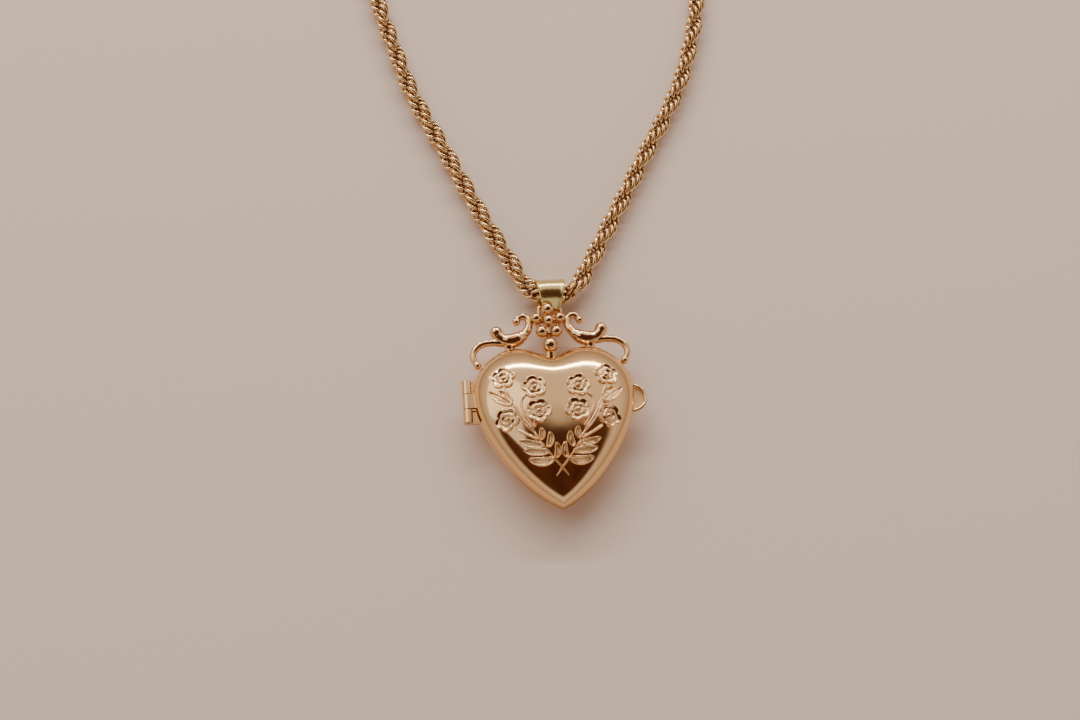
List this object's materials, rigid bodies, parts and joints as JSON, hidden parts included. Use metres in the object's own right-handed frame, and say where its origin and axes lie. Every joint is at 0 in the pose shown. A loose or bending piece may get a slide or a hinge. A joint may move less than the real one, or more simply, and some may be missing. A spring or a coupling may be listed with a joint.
{
  "type": "pendant necklace",
  "caption": "Heart locket pendant with a hinged front, scroll and bead crest, folded bail, rope chain and spring ring clasp.",
  "frame": {"origin": "middle of the flat on the locket's back, where it lies on a surface", "axes": "+Z out of the locket's front face, +Y towards the bail, +X towards the nail tab, with the hinge on -X"},
  "size_m": [0.0577, 0.1648, 0.007],
  "materials": {
    "locket_gold": "polished gold plating with a rose tint",
    "chain_gold": "polished gold plating, warm yellow",
    "bail_gold": "polished gold plating, greenish yellow",
    "steel": "bright spring steel",
    "window_film": "clear film",
    "card": "plain matt card"
  },
  "bodies": {
    "locket_back": {"rear_shell": "locket_gold", "rear_photo_frame": "locket_gold", "rear_window": "window_film", "rear_photo_card": "card", "rear_hinge_knuckles": "locket_gold", "hinge_pin": "steel", "snap_tongue": "locket_gold", "crest_centre": "locket_gold", "left_scroll": "locket_gold", "right_scroll": "locket_gold"},
    "lid": {"front_shell": "locket_gold", "front_photo_frame": "locket_gold", "front_window": "window_film", "front_photo_card": "card", "front_hinge_knuckle": "locket_gold", "nail_tab": "locket_gold"},
    "bail": {"bail": "bail_gold"},
    "chain": {"rope_chain": "chain_gold", "end_caps": "chain_gold", "jump_ring": "chain_gold", "catch_ring": "chain_gold"},
    "clasp": {"clasp_ring": "chain_gold", "clasp_spring": "steel"},
    "clasp_bolt": {"clasp_bolt": "chain_gold"}
  },
  "joints": [
    {"name": "lid_hinge", "type": "hinge", "parent": "locket_back", "child": "lid", "pos_m": [-0.01185, 0.0049, 0.003], "axis": [0, -1, 0], "range_deg": [0, 150]},
    {"name": "bail_swing", "type": "hinge", "parent": "locket_back", "child": "bail", "pos_m": [0.0007, 0.01945, 0.0023], "axis": [1, 0, 0], "range_deg": [0, 25]},
    {"name": "chain_swing", "type": "hinge", "parent": "bail", "child": "chain", "pos_m": [0.001, 0.02105, 0.0022], "axis": [1, 0, 0], "range_deg": [0, 75]},
    {"name": "clasp_turn", "type": "hinge", "parent": "chain", "child": "clasp", "pos_m": [0.006, 0.11187, 0.0015], "axis": [0, 1, 0], "range_deg": [-15, 15]},
    {"name": "clasp_bolt_draw", "type": "hinge", "parent": "clasp", "child": "clasp_bolt", "pos_m": [0.006, 0.11187, 0.0015], "axis": [0, 0, -1], "range_deg": [0, 52], "stiffness_Nm_per_rad": 0.00003, "springref_deg": -22.92, "deforming": ["clasp_spring"]}
  ]
}
